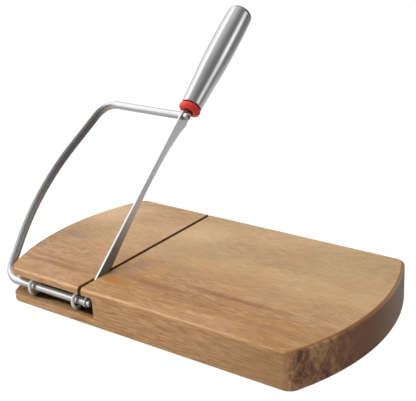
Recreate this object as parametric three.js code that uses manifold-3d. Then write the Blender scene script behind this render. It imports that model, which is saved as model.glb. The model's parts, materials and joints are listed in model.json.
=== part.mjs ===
// Cheese cutter: a wooden board with curved ends and a hinged steel bow that carries a blade.
// Millimetres, +Z up. X runs along the board, -Y is the hinge side, the origin is the centre
// of the board's underside. The arm is drawn open, raised by ARM_OPEN_DEG from the board.

import * as THREE from 'three';
import { mergeVertices } from 'three/addons/utils/BufferGeometryUtils.js';
import Module from 'manifold-3d';

const wasm = await Module();
wasm.setup();

// ---- Driving dimensions ----

// Board
const BOARD_LENGTH = 300;
const BOARD_WIDTH = 168;
const BOARD_THICKNESS = 30;
const BOARD_END_BOW = 20; // how far each curved end stands out past the corners
const BOARD_CORNER_RADIUS = 10;
const BOARD_TOP_ROUND = 3.2;
const BOARD_BOTTOM_ROUND = 1.4;

// Hinge axis, parallel to X, inside the front side just below half the board's thickness
const PIVOT_Y = -76.6;
const PIVOT_Z = 14.3;
const ARM_OPEN_DEG = 40.9;

// Recess in the front side for the hinge, open at the board's left end
const RECESS_FLOOR_Z = 6.6;
const RECESS_CEILING_Z = 24;
const RECESS_DEPTH = 15;
const RECESS_END_X = -43;
const RECESS_END_RADIUS = 3;

// Slot across the board that the blade sinks into
const SLOT_WIDTH = 3;
const SLOT_FLOOR_Z = 6;

// Screw eyes that hold the hinge rod
const EYE_X = [-111.5, -64.8];
const EYE_WIRE = 2.7;
const EYE_HOLE = 9.2;
const EYE_SHANK_DIAMETER = 3.6;
const EYE_SHANK_LENGTH = 20;
const EYE_POINT_LENGTH = 3;

// Bent rod. In the arm's own plane, "reach" is the distance from the hinge axis.
const ROD_DIAMETER = 6.6;
const BOW_ARC_RADIUS = 206;
const BOW_ARC_HALF_SPAN = 47;
const BOW_ARC_REACH = 80; // reach of the middle of the curved side
const BOW_OUTERMOST_X = -155.9;
const BOW_LOWER_BEND = 15;
const BOW_UPPER_BEND = 17;
const TOP_LEG_REACH = 172.7;

// Blade
const BLADE_X = -55.5;
const BLADE_THICKNESS = 2;
const BLADE_SPINE = 4; // height of the straight spine above the arm's plane
const BLADE_FOOT_RADIUS = 4;
const BLADE_EDGE_THICKNESS = 0.3;
const BLADE_BEVEL = 2.4;
const BEVEL_FROM = 14;
const BEVEL_TO = 163;
const TANG_WIDTH = 7;
const TANG_END_REACH = 232;

// Screws that clamp the blade to the rod's two ends
const SCREW_SHANK = 3;
const SCREW_HOLE = 3.6;
const SCREW_HEAD_DIAMETER = 6.4;
const SCREW_HEAD_LENGTH = 3.6;
const SCREW_REACH_INTO_ROD = 9;
const SOCKET_ACROSS_CORNERS = 4;
const SOCKET_DEPTH = 2;
const WASHER_DIAMETER = 7.6;
const WASHER_THICKNESS = 0.6;

// Handle and collar
const HANDLE_AXIS_DROP = 3.4; // handle axis below the arm's plane where the collar starts
const HANDLE_TILT_DEG = 1.1; // the handle leans down away from the arm's plane
const COLLAR_START = 178.8;
const COLLAR_LENGTH = 6.2;
const COLLAR_DIAMETER = 18.8;
const COLLAR_HOLE = 8.8;
const HANDLE_START = 185.3;
const HANDLE_END = 286;
const HANDLE_WALL = 1;
const HANDLE_END_ROUND = 5;
const CORE_END = 236;
const TANG_PIN_REACH = 214;
const TANG_PIN_DIAMETER = 3;

const FIT_GAP = 0.3; // free space between parts that touch or are bonded
const SEAT_GAP = 0.2; // free space under clamped faces

// ---- Solids ----

function toSolid(geometry) {
  const bare = geometry.clone();
  bare.deleteAttribute('normal');
  bare.deleteAttribute('uv');
  const merged = mergeVertices(bare, 1e-4);
  return new wasm.Manifold(new wasm.Mesh({
    numProp: 3,
    vertProperties: new Float32Array(merged.attributes.position.array),
    triVerts: new Uint32Array(merged.index.array),
  }));
}

function toGeometry(solid) {
  const mesh = solid.getMesh();
  const geometry = new THREE.BufferGeometry();
  geometry.setAttribute('position', new THREE.BufferAttribute(new Float32Array(mesh.vertProperties), 3));
  geometry.setIndex(new THREE.BufferAttribute(new Uint32Array(mesh.triVerts), 1));
  geometry.computeVertexNormals();
  return geometry;
}

// Closed body through rings that all have the same number of points. Seen from the last
// ring towards the first, each ring runs anticlockwise.
function loft(rings) {
  const count = rings[0].length;
  const positions = rings.flat().flatMap((point) => [point.x, point.y, point.z]);
  const indices = [];
  for (let ring = 0; ring < rings.length - 1; ring += 1) {
    for (let i = 0; i < count; i += 1) {
      const a = ring * count + i;
      const b = ring * count + ((i + 1) % count);
      indices.push(a, b, b + count, a, b + count, a + count);
    }
  }
  const addCap = (ring, outward) => {
    const centre = ring.reduce((sum, point) => sum.add(point), new THREE.Vector3()).divideScalar(count);
    const hub = positions.length / 3;
    positions.push(centre.x, centre.y, centre.z);
    const first = rings.indexOf(ring) * count;
    for (let i = 0; i < count; i += 1) {
      const a = first + i;
      const b = first + ((i + 1) % count);
      indices.push(...(outward ? [a, b, hub] : [b, a, hub]));
    }
  };
  addCap(rings[0], false);
  addCap(rings[rings.length - 1], true);
  const geometry = new THREE.BufferGeometry();
  geometry.setAttribute('position', new THREE.Float32BufferAttribute(positions, 3));
  geometry.setIndex(indices);
  return toSolid(geometry);
}

// Flat shape drawn in (reach, height) and given a thickness along X, centred on BLADE_X
function bladePlate(shape) {
  const geometry = new THREE.ExtrudeGeometry(shape, {
    depth: BLADE_THICKNESS,
    bevelEnabled: false,
    curveSegments: 14,
  });
  const axes = new THREE.Matrix4().makeBasis(
    new THREE.Vector3(0, 1, 0),
    new THREE.Vector3(0, 0, 1),
    new THREE.Vector3(1, 0, 0),
  );
  geometry.applyMatrix4(axes);
  geometry.translate(BLADE_X - BLADE_THICKNESS / 2, 0, 0);
  return toSolid(geometry);
}

// Round bar along +X from x0 to x1 at the given y and z
function barX(radius, x0, x1, y, z, segments = 32) {
  const geometry = new THREE.CylinderGeometry(radius, radius, x1 - x0, segments);
  geometry.rotateZ(-Math.PI / 2);
  geometry.translate((x0 + x1) / 2, y, z);
  return toSolid(geometry);
}

// Body turned about the handle's axis from [radius, reach] points that form a closed outline
function turned(outline, segments) {
  const points = outline.map(([radius, reach]) => new THREE.Vector2(radius, reach));
  const geometry = new THREE.LatheGeometry([...points, points[0]], segments);
  geometry.translate(BLADE_X, 0, 0);
  return toSolid(geometry);
}

// Handle parts and the tang are drawn with the handle's axis at height 0, then leant over
// about the point where the collar starts
function leanSolid(solid) {
  return solid
    .translate([0, -COLLAR_START, 0])
    .rotate([-HANDLE_TILT_DEG, 0, 0])
    .translate([0, COLLAR_START, -HANDLE_AXIS_DROP]);
}

function leanPoint(reach, height) {
  const point = new THREE.Vector2(reach - COLLAR_START, height);
  point.rotateAround(new THREE.Vector2(), THREE.MathUtils.degToRad(-HANDLE_TILT_DEG));
  return point.add(new THREE.Vector2(COLLAR_START, -HANDLE_AXIS_DROP));
}

const GROUP = new THREE.Group();
GROUP.name = 'cheese_cutter';

const FINISH = {
  wood: { color: 0xb98a5c, roughness: 0.55, metalness: 0 },
  steel: { color: 0xb9bbbd, roughness: 0.32, metalness: 1 },
  blade: { color: 0xc4c6c9, roughness: 0.26, metalness: 1 },
  red: { color: 0xc8201c, roughness: 0.4, metalness: 0 },
  core: { color: 0x3a3a3c, roughness: 0.6, metalness: 0 },
};

function addMesh(name, solid, finish) {
  const mesh = new THREE.Mesh(toGeometry(solid), new THREE.MeshStandardMaterial({ ...finish }));
  mesh.name = name;
  GROUP.add(mesh);
}

// Arm parts are drawn with the arm flat: the hinge axis on X, reach along +Y, height along +Z
function addArmMesh(name, solid, finish) {
  addMesh(name, solid.rotate([ARM_OPEN_DEG, 0, 0]).translate([0, PIVOT_Y, PIVOT_Z]), finish);
}

// ---- Board ----

const END_RADIUS = (BOARD_WIDTH ** 2 / 4 + BOARD_END_BOW ** 2) / (2 * BOARD_END_BOW);
const END_CENTRE_X = BOARD_LENGTH / 2 - END_RADIUS;
const CORNER_Y = BOARD_WIDTH / 2 - BOARD_CORNER_RADIUS;
const CORNER_X = END_CENTRE_X + Math.sqrt((END_RADIUS - BOARD_CORNER_RADIUS) ** 2 - CORNER_Y ** 2);

function arcPoints(centreX, centreY, radius, from, to, steps) {
  const points = [];
  for (let i = 0; i <= steps; i += 1) {
    const angle = from + ((to - from) * i) / steps;
    points.push(new THREE.Vector2(centreX + radius * Math.cos(angle), centreY + radius * Math.sin(angle)));
  }
  return points;
}

// Board outline, moved inwards by inset, anticlockwise from above
function boardRing(inset, z) {
  const meet = Math.asin(CORNER_Y / (END_RADIUS - BOARD_CORNER_RADIUS));
  const corner = BOARD_CORNER_RADIUS - inset;
  const right = [
    ...arcPoints(CORNER_X, -CORNER_Y, corner, -Math.PI / 2, -meet, 7),
    ...arcPoints(END_CENTRE_X, 0, END_RADIUS - inset, -meet, meet, 22).slice(1, -1),
    ...arcPoints(CORNER_X, CORNER_Y, corner, meet, Math.PI / 2, 7),
  ];
  const left = right.map((point) => new THREE.Vector2(-point.x, -point.y));
  return [...right, ...left].map((point) => new THREE.Vector3(point.x, point.y, z));
}

// Rings that round one edge of the board; from and to are angles of the rounding's section
function edgeRings(radius, centreZ, from, to) {
  return arcPoints(0, centreZ, radius, from, to, 5).map((point) => boardRing(radius - point.x, point.y));
}

function buildBoard() {
  const block = loft([
    ...edgeRings(BOARD_BOTTOM_ROUND, BOARD_BOTTOM_ROUND, -Math.PI / 2, 0),
    ...edgeRings(BOARD_TOP_ROUND, BOARD_THICKNESS - BOARD_TOP_ROUND, 0, Math.PI / 2),
  ]);

  const front = -BOARD_WIDTH / 2;
  const cornerX = RECESS_END_X - RECESS_END_RADIUS;
  const recessShape = new THREE.Shape();
  recessShape.moveTo(-BOARD_LENGTH, RECESS_FLOOR_Z);
  recessShape.lineTo(cornerX, RECESS_FLOOR_Z);
  recessShape.absarc(cornerX, RECESS_FLOOR_Z + RECESS_END_RADIUS, RECESS_END_RADIUS, -Math.PI / 2, 0);
  recessShape.absarc(cornerX, RECESS_CEILING_Z - RECESS_END_RADIUS, RECESS_END_RADIUS, 0, Math.PI / 2);
  recessShape.lineTo(-BOARD_LENGTH, RECESS_CEILING_Z);
  const recess = new THREE.ExtrudeGeometry(recessShape, {
    depth: RECESS_DEPTH + 10,
    bevelEnabled: false,
    curveSegments: 8,
  });
  recess.rotateX(Math.PI / 2);
  recess.translate(0, front + RECESS_DEPTH, 0);

  // The slot is deep behind the recess and open down into it at the front
  const deepSlot = new THREE.BoxGeometry(SLOT_WIDTH, BOARD_WIDTH, BOARD_THICKNESS);
  deepSlot.translate(BLADE_X, RECESS_DEPTH, SLOT_FLOOR_Z + BOARD_THICKNESS / 2);
  const frontSlot = new THREE.BoxGeometry(SLOT_WIDTH, 2 * RECESS_DEPTH, BOARD_THICKNESS);
  frontSlot.translate(BLADE_X, front, PIVOT_Z + BOARD_THICKNESS / 2);

  let board = block;
  for (const tool of [recess, deepSlot, frontSlot]) {
    board = board.subtract(toSolid(tool));
  }
  const ringBack = PIVOT_Y + EYE_HOLE / 2 + EYE_WIRE / 2;
  for (const x of EYE_X) {
    const boreLength = EYE_SHANK_LENGTH + 2 * FIT_GAP;
    const bore = new THREE.CylinderGeometry(
      EYE_SHANK_DIAMETER / 2 + FIT_GAP, EYE_SHANK_DIAMETER / 2 + FIT_GAP, boreLength, 24,
    );
    bore.translate(x, ringBack + boreLength / 2, PIVOT_Z);
    board = board.subtract(toSolid(bore));
  }
  return board;
}

function buildEye(x) {
  const ringRadius = EYE_HOLE / 2 + EYE_WIRE / 2;
  const ring = new THREE.TorusGeometry(ringRadius, EYE_WIRE / 2, 14, 36);
  ring.rotateY(Math.PI / 2);
  const shankRadius = EYE_SHANK_DIAMETER / 2;
  const straight = EYE_SHANK_LENGTH - EYE_POINT_LENGTH;
  const shank = new THREE.LatheGeometry([
    new THREE.Vector2(0, 0),
    new THREE.Vector2(shankRadius, 0),
    new THREE.Vector2(shankRadius, straight),
    new THREE.Vector2(0.4, EYE_SHANK_LENGTH),
    new THREE.Vector2(0, EYE_SHANK_LENGTH),
    new THREE.Vector2(0, 0),
  ], 24);
  shank.translate(0, ringRadius, 0);
  return toSolid(ring).add(toSolid(shank)).translate([x, PIVOT_Y, PIVOT_Z]);
}

// ---- Bow ----

// Goes straight towards corner, then round it with the given radius, ready to go on to next
function addBend(path, before, corner, next, radius) {
  const toBefore = before.clone().sub(corner).normalize();
  const toNext = next.clone().sub(corner).normalize();
  const half = toBefore.angleTo(toNext) / 2;
  const centre = toBefore.clone().add(toNext).normalize().multiplyScalar(radius / Math.sin(half)).add(corner);
  const start = toBefore.clone().multiplyScalar(radius / Math.tan(half)).add(corner).sub(centre);
  const end = toNext.clone().multiplyScalar(radius / Math.tan(half)).add(corner).sub(centre);
  path.lineTo(centre.x + start.x, centre.y + start.y);
  path.absarc(centre.x, centre.y, radius, start.angle(), end.angle(), true);
}

function bowPoints() {
  const legEnd = BLADE_X - BLADE_THICKNESS / 2 - SEAT_GAP;
  const arcCentreX = BOW_OUTERMOST_X + BOW_ARC_RADIUS;
  const halfAngle = Math.asin(BOW_ARC_HALF_SPAN / BOW_ARC_RADIUS);
  const arcEndX = arcCentreX - BOW_ARC_RADIUS * Math.cos(halfAngle);
  const lowerEnd = new THREE.Vector2(arcEndX, BOW_ARC_REACH - BOW_ARC_HALF_SPAN);
  const upperEnd = new THREE.Vector2(arcEndX, BOW_ARC_REACH + BOW_ARC_HALF_SPAN);
  const lean = Math.tan(halfAngle);
  const lowerCorner = new THREE.Vector2(arcEndX + lowerEnd.y * lean, 0);
  const upperCorner = new THREE.Vector2(arcEndX + (TOP_LEG_REACH - upperEnd.y) * lean, TOP_LEG_REACH);
  const hingeLegEnd = new THREE.Vector2(legEnd, 0);
  const topLegEnd = new THREE.Vector2(legEnd, TOP_LEG_REACH);

  const path = new THREE.Path();
  path.moveTo(hingeLegEnd.x, hingeLegEnd.y);
  addBend(path, hingeLegEnd, lowerCorner, lowerEnd, BOW_LOWER_BEND);
  path.lineTo(lowerEnd.x, lowerEnd.y);
  path.absarc(arcCentreX, BOW_ARC_REACH, BOW_ARC_RADIUS, Math.PI + halfAngle, Math.PI - halfAngle, true);
  addBend(path, upperEnd, upperCorner, topLegEnd, BOW_UPPER_BEND);
  path.lineTo(topLegEnd.x, topLegEnd.y);
  return path.getPoints(7);
}

function buildBow() {
  const points = bowPoints().filter((point, i, all) => i === 0 || point.distanceTo(all[i - 1]) > 1e-3);
  const radius = ROD_DIAMETER / 2;
  const sides = 20;
  const rings = points.map((point, i) => {
    const before = points[Math.max(i - 1, 0)];
    const after = points[Math.min(i + 1, points.length - 1)];
    const along = after.clone().sub(before).normalize();
    const across = new THREE.Vector2(-along.y, along.x);
    const ring = [];
    for (let k = 0; k < sides; k += 1) {
      const angle = (2 * Math.PI * k) / sides;
      const sideways = radius * Math.cos(angle);
      ring.push(new THREE.Vector3(
        point.x + across.x * sideways,
        point.y + across.y * sideways,
        radius * Math.sin(angle),
      ));
    }
    return ring;
  });
  let bow = loft(rings);
  const legEnd = BLADE_X - BLADE_THICKNESS / 2 - SEAT_GAP;
  for (const reach of [0, TOP_LEG_REACH]) {
    const hole = barX(SCREW_HOLE / 2, legEnd - SCREW_REACH_INTO_ROD - 1, legEnd + 1, reach, 0, 24);
    bow = bow.subtract(hole);
  }
  return bow;
}

// ---- Blade ----

// Hollow cutting edge: height of the edge below the arm's plane at chosen reaches
const EDGE_CURVE = new THREE.SplineCurve([
  new THREE.Vector2(6, -6.2),
  new THREE.Vector2(18, -7.6),
  new THREE.Vector2(36, -6.7),
  new THREE.Vector2(56, -4.9),
  new THREE.Vector2(80, -3.5),
  new THREE.Vector2(104, -2.5),
  new THREE.Vector2(126, -2.9),
  new THREE.Vector2(142, -4),
  new THREE.Vector2(156, -6.1),
  new THREE.Vector2(167, -7.9),
]);

function buildBlade() {
  const edge = EDGE_CURVE.getPoints(42);
  const half = TANG_WIDTH / 2;
  const underStart = leanPoint(177, -half);
  const topStart = leanPoint(179, half);
  const tangCorners = [
    leanPoint(TANG_END_REACH - 2, -half),
    leanPoint(TANG_END_REACH, -half + 2),
    leanPoint(TANG_END_REACH, half - 2),
    leanPoint(TANG_END_REACH - 2, half),
    topStart,
  ];

  const outline = new THREE.Shape();
  outline.moveTo(0, -BLADE_FOOT_RADIUS);
  for (const point of edge) {
    outline.lineTo(point.x, point.y);
  }
  outline.bezierCurveTo(171, -8.6, 172, underStart.y, underStart.x, underStart.y);
  for (const corner of tangCorners) {
    outline.lineTo(corner.x, corner.y);
  }
  outline.bezierCurveTo(177.5, topStart.y, 177.5, BLADE_SPINE, 173.5, BLADE_SPINE);
  outline.lineTo(0, BLADE_SPINE);
  outline.absarc(0, 0, BLADE_FOOT_RADIUS, Math.PI / 2, (3 * Math.PI) / 2, false);
  let blade = bladePlate(outline);

  // Grind both faces away towards the cutting edge
  const bevelled = edge.filter((point) => point.x >= BEVEL_FROM && point.x <= BEVEL_TO);
  for (const side of [-1, 1]) {
    const outer = side * BLADE_THICKNESS;
    const flat = (side * BLADE_THICKNESS) / 2;
    const tip = (side * BLADE_EDGE_THICKNESS) / 2;
    const slope = (flat - tip) / BLADE_BEVEL;
    const rings = bevelled.map((point) => {
      const ring = [
        new THREE.Vector3(BLADE_X + outer, point.x, point.y - 1),
        new THREE.Vector3(BLADE_X + tip - slope, point.x, point.y - 1),
        new THREE.Vector3(BLADE_X + flat + slope * 0.5, point.x, point.y + BLADE_BEVEL * 1.5),
        new THREE.Vector3(BLADE_X + outer, point.x, point.y + BLADE_BEVEL * 1.5),
      ];
      return side > 0 ? ring : ring.reverse();
    });
    blade = blade.subtract(loft(rings));
  }

  const halfThick = BLADE_THICKNESS / 2 + 1;
  for (const reach of [0, TOP_LEG_REACH]) {
    blade = blade.subtract(barX(SCREW_HOLE / 2, BLADE_X - halfThick, BLADE_X + halfThick, reach, 0, 24));
  }
  const pin = leanPoint(TANG_PIN_REACH, 0);
  const pinRadius = TANG_PIN_DIAMETER / 2 + FIT_GAP;
  return blade.subtract(barX(pinRadius, BLADE_X - halfThick, BLADE_X + halfThick, pin.x, pin.y, 24));
}

// ---- Screws and washer ----

function buildScrew(reach, headStartX) {
  const headEnd = headStartX + SCREW_HEAD_LENGTH;
  const shankStart = BLADE_X - BLADE_THICKNESS / 2 - SEAT_GAP - SCREW_REACH_INTO_ROD;
  const headRadius = SCREW_HEAD_DIAMETER / 2;
  const profile = [
    new THREE.Vector2(0, shankStart),
    new THREE.Vector2(SCREW_SHANK / 2 - 0.4, shankStart),
    new THREE.Vector2(SCREW_SHANK / 2, shankStart + 0.4),
    new THREE.Vector2(SCREW_SHANK / 2, headStartX),
    new THREE.Vector2(headRadius - 0.3, headStartX),
    new THREE.Vector2(headRadius, headStartX + 0.3),
    ...arcPoints(headRadius - 0.9, headEnd - 0.9, 0.9, 0, Math.PI / 2, 4),
    new THREE.Vector2(0, headEnd),
    new THREE.Vector2(0, shankStart),
  ];
  const body = new THREE.LatheGeometry(profile, 32);
  body.rotateZ(-Math.PI / 2);
  const socketRadius = SOCKET_ACROSS_CORNERS / 2;
  const socket = barX(socketRadius, headEnd - SOCKET_DEPTH, headEnd + 1, 0, 0, 6);
  return toSolid(body).subtract(socket).translate([0, reach, 0]);
}

function buildWasher(reach, startX) {
  const disc = barX(WASHER_DIAMETER / 2, startX, startX + WASHER_THICKNESS, reach, 0, 36);
  return disc.subtract(barX(SCREW_HOLE / 2, startX - 1, startX + WASHER_THICKNESS + 1, reach, 0, 24));
}

// ---- Handle ----

// Outer radius along the grip: slim at the collar, fullest past the middle
const GRIP_CURVE = new THREE.SplineCurve([
  new THREE.Vector2(HANDLE_START, 8.9),
  new THREE.Vector2(196, 9.3),
  new THREE.Vector2(208, 9.9),
  new THREE.Vector2(220, 10.6),
  new THREE.Vector2(232, 11.1),
  new THREE.Vector2(250, 11.3),
  new THREE.Vector2(268, 11.2),
  new THREE.Vector2(HANDLE_END - HANDLE_END_ROUND, 10.7),
]);

// Side and rounded end of the grip as [radius, reach], moved inwards by inset
function gripProfile(inset) {
  const side = GRIP_CURVE.getPoints(14);
  const endRadius = GRIP_CURVE.points[GRIP_CURVE.points.length - 1].y - inset;
  const round = HANDLE_END_ROUND - inset;
  const flatRadius = endRadius - round;
  const roundStart = HANDLE_END - HANDLE_END_ROUND;
  return [
    ...side.map((point) => [point.y - inset, point.x]),
    ...arcPoints(flatRadius, roundStart, round, 0, Math.PI / 2, 6).slice(1).map((point) => [point.x, point.y]),
    [0, roundStart + round],
  ];
}

function buildHandle() {
  const outside = gripProfile(0);
  const inside = gripProfile(HANDLE_WALL);
  return leanSolid(turned([...outside, ...inside.reverse()], 40));
}

function buildCollar() {
  const outer = COLLAR_DIAMETER / 2;
  const round = COLLAR_LENGTH / 2;
  const middle = COLLAR_START + round;
  const lip = 1;
  const collar = turned([
    ...arcPoints(outer - round, middle, round, -Math.PI / 2, Math.PI / 2, 10).map((p) => [p.x, p.y]),
    [COLLAR_HOLE / 2, middle + round],
    ...arcPoints(COLLAR_HOLE / 2 + lip, COLLAR_START + lip, lip, Math.PI, Math.PI * 1.5, 4)
      .map((p) => [p.x, p.y]),
  ], 40);
  return leanSolid(collar);
}

function buildCore() {
  const start = HANDLE_START + FIT_GAP;
  const skin = HANDLE_WALL + FIT_GAP;
  const side = GRIP_CURVE.getPoints(14).filter((point) => point.x > start && point.x < CORE_END);
  const core = turned([
    [0, start],
    [GRIP_CURVE.points[0].y - skin, start],
    ...side.map((point) => [point.y - skin, point.x]),
    [side[side.length - 1].y - skin, CORE_END],
    [0, CORE_END],
  ], 32);
  const slotEnd = TANG_END_REACH + FIT_GAP;
  const slot = new THREE.BoxGeometry(
    BLADE_THICKNESS + 2 * FIT_GAP, slotEnd - start + 1, TANG_WIDTH + 2 * FIT_GAP,
  );
  slot.translate(BLADE_X, (slotEnd + start - 1) / 2, 0);
  const pinHole = barX(
    TANG_PIN_DIAMETER / 2 + FIT_GAP, BLADE_X - 15, BLADE_X + 15, TANG_PIN_REACH, 0, 24,
  );
  return leanSolid(core.subtract(toSolid(slot)).subtract(pinHole));
}

function buildTangPin() {
  const halfLength = 8.2;
  const pin = barX(
    TANG_PIN_DIAMETER / 2, BLADE_X - halfLength, BLADE_X + halfLength, TANG_PIN_REACH, 0, 24,
  );
  return leanSolid(pin);
}

// ---- Assembly ----

const seat = BLADE_X + BLADE_THICKNESS / 2 + SEAT_GAP;

addMesh('board', buildBoard(), FINISH.wood);
addMesh('hinge_eye_left', buildEye(EYE_X[0]), FINISH.steel);
addMesh('hinge_eye_right', buildEye(EYE_X[1]), FINISH.steel);
addArmMesh('bow', buildBow(), FINISH.steel);
addArmMesh('blade', buildBlade(), FINISH.blade);
addArmMesh('blade_screw_lower', buildScrew(0, seat), FINISH.steel);
addArmMesh('blade_screw_upper', buildScrew(TOP_LEG_REACH, seat + WASHER_THICKNESS + SEAT_GAP), FINISH.steel);
addArmMesh('blade_washer_upper', buildWasher(TOP_LEG_REACH, seat), FINISH.steel);
addArmMesh('collar', buildCollar(), FINISH.red);
addArmMesh('handle', buildHandle(), FINISH.steel);
addArmMesh('handle_core', buildCore(), FINISH.core);
addArmMesh('tang_pin', buildTangPin(), FINISH.steel);

export default GROUP;
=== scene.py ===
"""Looks of the cheese cutter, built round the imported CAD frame.

Shapes and places on a material are in millimetres; bump distances, lights and the camera are in metres.
"""
import json
import math

import bmesh
import bpy
from mathutils import Matrix, Vector


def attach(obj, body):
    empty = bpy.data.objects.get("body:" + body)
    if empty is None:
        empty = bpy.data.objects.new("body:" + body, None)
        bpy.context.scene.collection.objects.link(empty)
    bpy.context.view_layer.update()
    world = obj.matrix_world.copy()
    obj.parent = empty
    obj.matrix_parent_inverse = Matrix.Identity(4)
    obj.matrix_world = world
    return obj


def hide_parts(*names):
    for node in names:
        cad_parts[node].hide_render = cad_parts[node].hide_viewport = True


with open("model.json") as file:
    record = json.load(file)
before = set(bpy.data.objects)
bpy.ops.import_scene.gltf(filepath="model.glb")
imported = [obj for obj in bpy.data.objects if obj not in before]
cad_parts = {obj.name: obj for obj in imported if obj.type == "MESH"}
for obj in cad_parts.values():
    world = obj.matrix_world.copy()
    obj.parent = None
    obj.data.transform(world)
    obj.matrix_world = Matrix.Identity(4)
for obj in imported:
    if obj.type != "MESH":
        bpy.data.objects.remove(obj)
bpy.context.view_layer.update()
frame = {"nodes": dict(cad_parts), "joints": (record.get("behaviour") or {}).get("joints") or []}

MM = 0.001
SCENE = bpy.context.scene

# ---- Sizes repeated from the CAD source ----

BOARD_LENGTH = 300
BOARD_WIDTH = 168
BOARD_THICKNESS = 30
BOARD_END_BOW = 20
BOARD_CORNER_RADIUS = 10
BOARD_TOP_ROUND = 3.2
BOARD_BOTTOM_ROUND = 1.4
RECESS_FLOOR_Z = 6.6
RECESS_CEILING_Z = 24
RECESS_DEPTH = 15
RECESS_END_X = -43
RECESS_END_RADIUS = 3
SLOT_WIDTH = 3
SLOT_FLOOR_Z = 6
EYE_X = (-111.5, -64.8)
EYE_WIRE = 2.7
EYE_HOLE = 9.2
EYE_SHANK_DIAMETER = 3.6
EYE_SHANK_LENGTH = 20
ROD_DIAMETER = 6.6
BOW_ARC_RADIUS = 206
BOW_ARC_HALF_SPAN = 47
BOW_ARC_REACH = 80
BOW_OUTERMOST_X = -155.9
BOW_LOWER_BEND = 15
BOW_UPPER_BEND = 17
TOP_LEG_REACH = 172.7
BLADE_X = -55.5
BLADE_THICKNESS = 2
BLADE_SPINE = 4
BLADE_FOOT_RADIUS = 4
BLADE_BEVEL = 2.4
TANG_WIDTH = 7
TANG_END_REACH = 232
SCREW_SHANK = 3
SCREW_HOLE = 3.6
SCREW_HEAD_DIAMETER = 6.4
SCREW_HEAD_LENGTH = 3.6
SCREW_REACH_INTO_ROD = 9
SOCKET_ACROSS_CORNERS = 4
SOCKET_DEPTH = 2
WASHER_DIAMETER = 7.6
WASHER_THICKNESS = 0.6
SEAT_GAP = 0.2
HANDLE_AXIS_DROP = 3.4
HANDLE_TILT_DEG = 1.1
COLLAR_START = 178.8
COLLAR_LENGTH = 6.2
COLLAR_DIAMETER = 18.8
COLLAR_HOLE = 8.8
HANDLE_WALL = 1
HANDLE_END_ROUND = 5
TANG_PIN_REACH = 214
TANG_PIN_DIAMETER = 3
FIT_GAP = 0.3
ARM_OPEN_DEG = 40.9

# The blade's hollow cutting edge as (reach, height) points
EDGE_CURVE = (
    (6, -6.2), (18, -7.6), (36, -6.7), (56, -4.9), (80, -3.5),
    (104, -2.5), (126, -2.9), (142, -4), (156, -6.1), (167, -7.9),
)

# ---- Sizes of this script's own ----

# The grip's two ends lie 0.15 and 0.05 mm lower along the arm than in the CAD source
HANDLE_START = 185.15
HANDLE_END = 285.95

CUT_EDGE_ROUND = 0.55
EYE_RING_START_DEG = -2
EYE_RING_END_DEG = 343
EYE_THREAD_START = 4.0
EYE_THREAD_PITCH = 1.5
EYE_THREAD_DEPTH = 0.3
ROD_END_CHAMFER = 0.4
BLADE_EDGE_BREAK = 0.22
BLADE_EDGE_HALF_THICKNESS = 0.14
BEVEL_START = 10
BEVEL_RUN_IN = 12
BEVEL_END = 168
BEVEL_RUN_OUT = 8
SCREW_END_CHAMFER = 0.4
SCREW_THREAD_PITCH = 0.5
SCREW_THREAD_DEPTH = 0.25
SCREW_HEAD_ROUND = 0.7
WASHER_CHAMFER = 0.12
HANDLE_MOUTH_ROUND = 0.2
COLLAR_HOLE_ROUND = 1

# The grip's outline as (reach, radius) points
GRIP_CURVE = (
    (HANDLE_START, 8.9), (196, 9.3), (208, 9.9), (220, 10.6),
    (232, 11.1), (250, 11.3), (268, 11.2), (HANDLE_END - HANDLE_END_ROUND, 10.7),
)

ROUND_SIDES = 48
HOLE_SIDES = 32
EYE_SIDES = 24
GRIP_SIDES = 96

# ---- Places worked out from the sizes ----

BOARD_FRONT_Y = -BOARD_WIDTH / 2
RECESS_BACK_Y = BOARD_FRONT_Y + RECESS_DEPTH
LEG_END_X = BLADE_X - BLADE_THICKNESS / 2 - SEAT_GAP
SEAT_X = BLADE_X + BLADE_THICKNESS / 2 + SEAT_GAP

PIVOT = Vector(frame["joints"][0]["pos_m"])
PIVOT_Z = PIVOT.z / MM
ARM_LEAN = math.radians(ARM_OPEN_DEG)
# From the arm's own axes, y along its reach, to the whole object's
ARM = Matrix.Translation(PIVOT) @ Matrix.Rotation(ARM_LEAN, 4, "X")
# The collar and grip drop a little and lean away from the arm's plane
GRIP_LEAN = (
    Matrix.Translation((0, COLLAR_START, -HANDLE_AXIS_DROP))
    @ Matrix.Rotation(math.radians(-HANDLE_TILT_DEG), 4, "X")
    @ Matrix.Translation((0, -COLLAR_START, 0))
)

# ---- Mesh helpers ----


def new_object(name, bm, matrix=None):
    bmesh.ops.recalc_face_normals(bm, faces=bm.faces)
    bmesh.ops.scale(bm, vec=(MM, MM, MM), verts=bm.verts)
    mesh = bpy.data.meshes.new(name)
    bm.to_mesh(mesh)
    bm.free()
    obj = bpy.data.objects.new(name, mesh)
    SCENE.collection.objects.link(obj)
    if matrix is not None:
        obj.matrix_world = matrix
    return obj


def apply_modifiers(obj):
    graph = bpy.context.evaluated_depsgraph_get()
    mesh = bpy.data.meshes.new_from_object(obj.evaluated_get(graph))
    obj.modifiers.clear()
    obj.data = mesh


def combine(obj, other, operation):
    """Joins other to obj or cuts it away, and removes other."""
    modifier = obj.modifiers.new(operation.lower(), "BOOLEAN")
    modifier.operation = operation
    modifier.solver = "EXACT"
    modifier.object = other
    apply_modifiers(obj)
    bpy.data.objects.remove(other)


def cut_away(obj, *cutters):
    for cutter in cutters:
        combine(obj, cutter, "DIFFERENCE")


def smooth(obj, angle, weighted=True):
    obj.data.shade_smooth()
    obj.data.set_sharp_from_angle(angle=math.radians(angle))
    if weighted:
        modifier = obj.modifiers.new("normals", "WEIGHTED_NORMAL")
        modifier.keep_sharp = True
        modifier.weight = 50


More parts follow.
